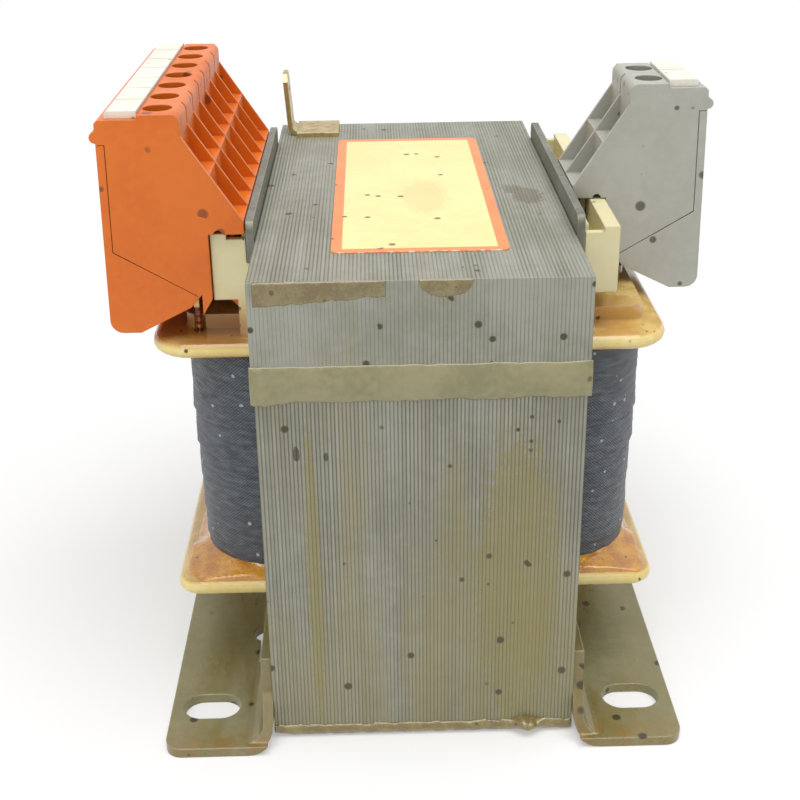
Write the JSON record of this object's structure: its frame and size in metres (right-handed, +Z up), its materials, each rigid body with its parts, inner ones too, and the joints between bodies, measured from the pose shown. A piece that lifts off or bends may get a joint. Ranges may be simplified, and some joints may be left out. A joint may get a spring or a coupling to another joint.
{
  "type": "laminated chassis transformer",
  "caption": "Low-voltage control transformer with a welded steel lamination core, a taped coil, screw terminal blocks on both sides and slotted sheet feet.",
  "frame": {"origin": "centre of the four chassis slots, on the underside of the feet", "axes": "+X along the stack of laminations towards the secondary terminals, +Y towards the earth tab's end, +Z up from the chassis"},
  "size_m": [0.0862, 0.092, 0.0893],
  "materials": {
    "core_e": "varnished sheet edges",
    "core_i": "varnished sheet edges",
    "weld_seam": "varnished weld bead",
    "bobbin": "translucent moulding under amber varnish",
    "copper": "enamelled copper wire",
    "insulation": "insulating film",
    "cloth_tape": "varnished cloth tape",
    "foot": "varnished steel sheet",
    "strip": "dull steel strip",
    "orange_housing": "moulded polyamide",
    "grey_housing": "moulded polyamide",
    "marker": "plain marker strip",
    "screw": "zinc-plated",
    "clamp": "zinc-plated",
    "contact": "tinned brass",
    "sleeve": "varnish-soaked sleeve",
    "earth_tab": "varnished tin-plated tab",
    "label": "film label with an orange border"
  },
  "bodies": {
    "root": {"e_laminations": "core_e", "i_laminations": "core_i", "weld_seam_front": "weld_seam", "weld_seam_rear": "weld_seam", "bobbin": "bobbin", "primary_winding": "copper", "winding_insulation": "insulation", "secondary_winding": "copper", "outer_wrap": "cloth_tape", "foot_left": "foot", "foot_right": "foot", "foot_welds": "weld_seam", "strip_left": "strip", "strip_right": "strip", "primary_terminal_1": "orange_housing", "primary_terminal_2": "orange_housing", "primary_terminal_3": "orange_housing", "primary_terminal_4": "orange_housing", "primary_terminal_5": "orange_housing", "primary_terminal_6": "orange_housing", "primary_terminal_7": "orange_housing", "primary_end_cover": "orange_housing", "primary_marker": "marker", "primary_screws": "screw", "primary_clamps": "clamp", "primary_contacts": "contact", "primary_leads": "copper", "secondary_terminal_1": "grey_housing", "secondary_terminal_2": "grey_housing", "secondary_end_cover": "grey_housing", "secondary_marker": "marker", "secondary_screws": "screw", "secondary_clamps": "clamp", "secondary_contacts": "contact", "secondary_leads": "copper", "lead_sleeves": "sleeve", "earth_tab": "earth_tab", "rating_label": "label"}
  },
  "joints": []
}
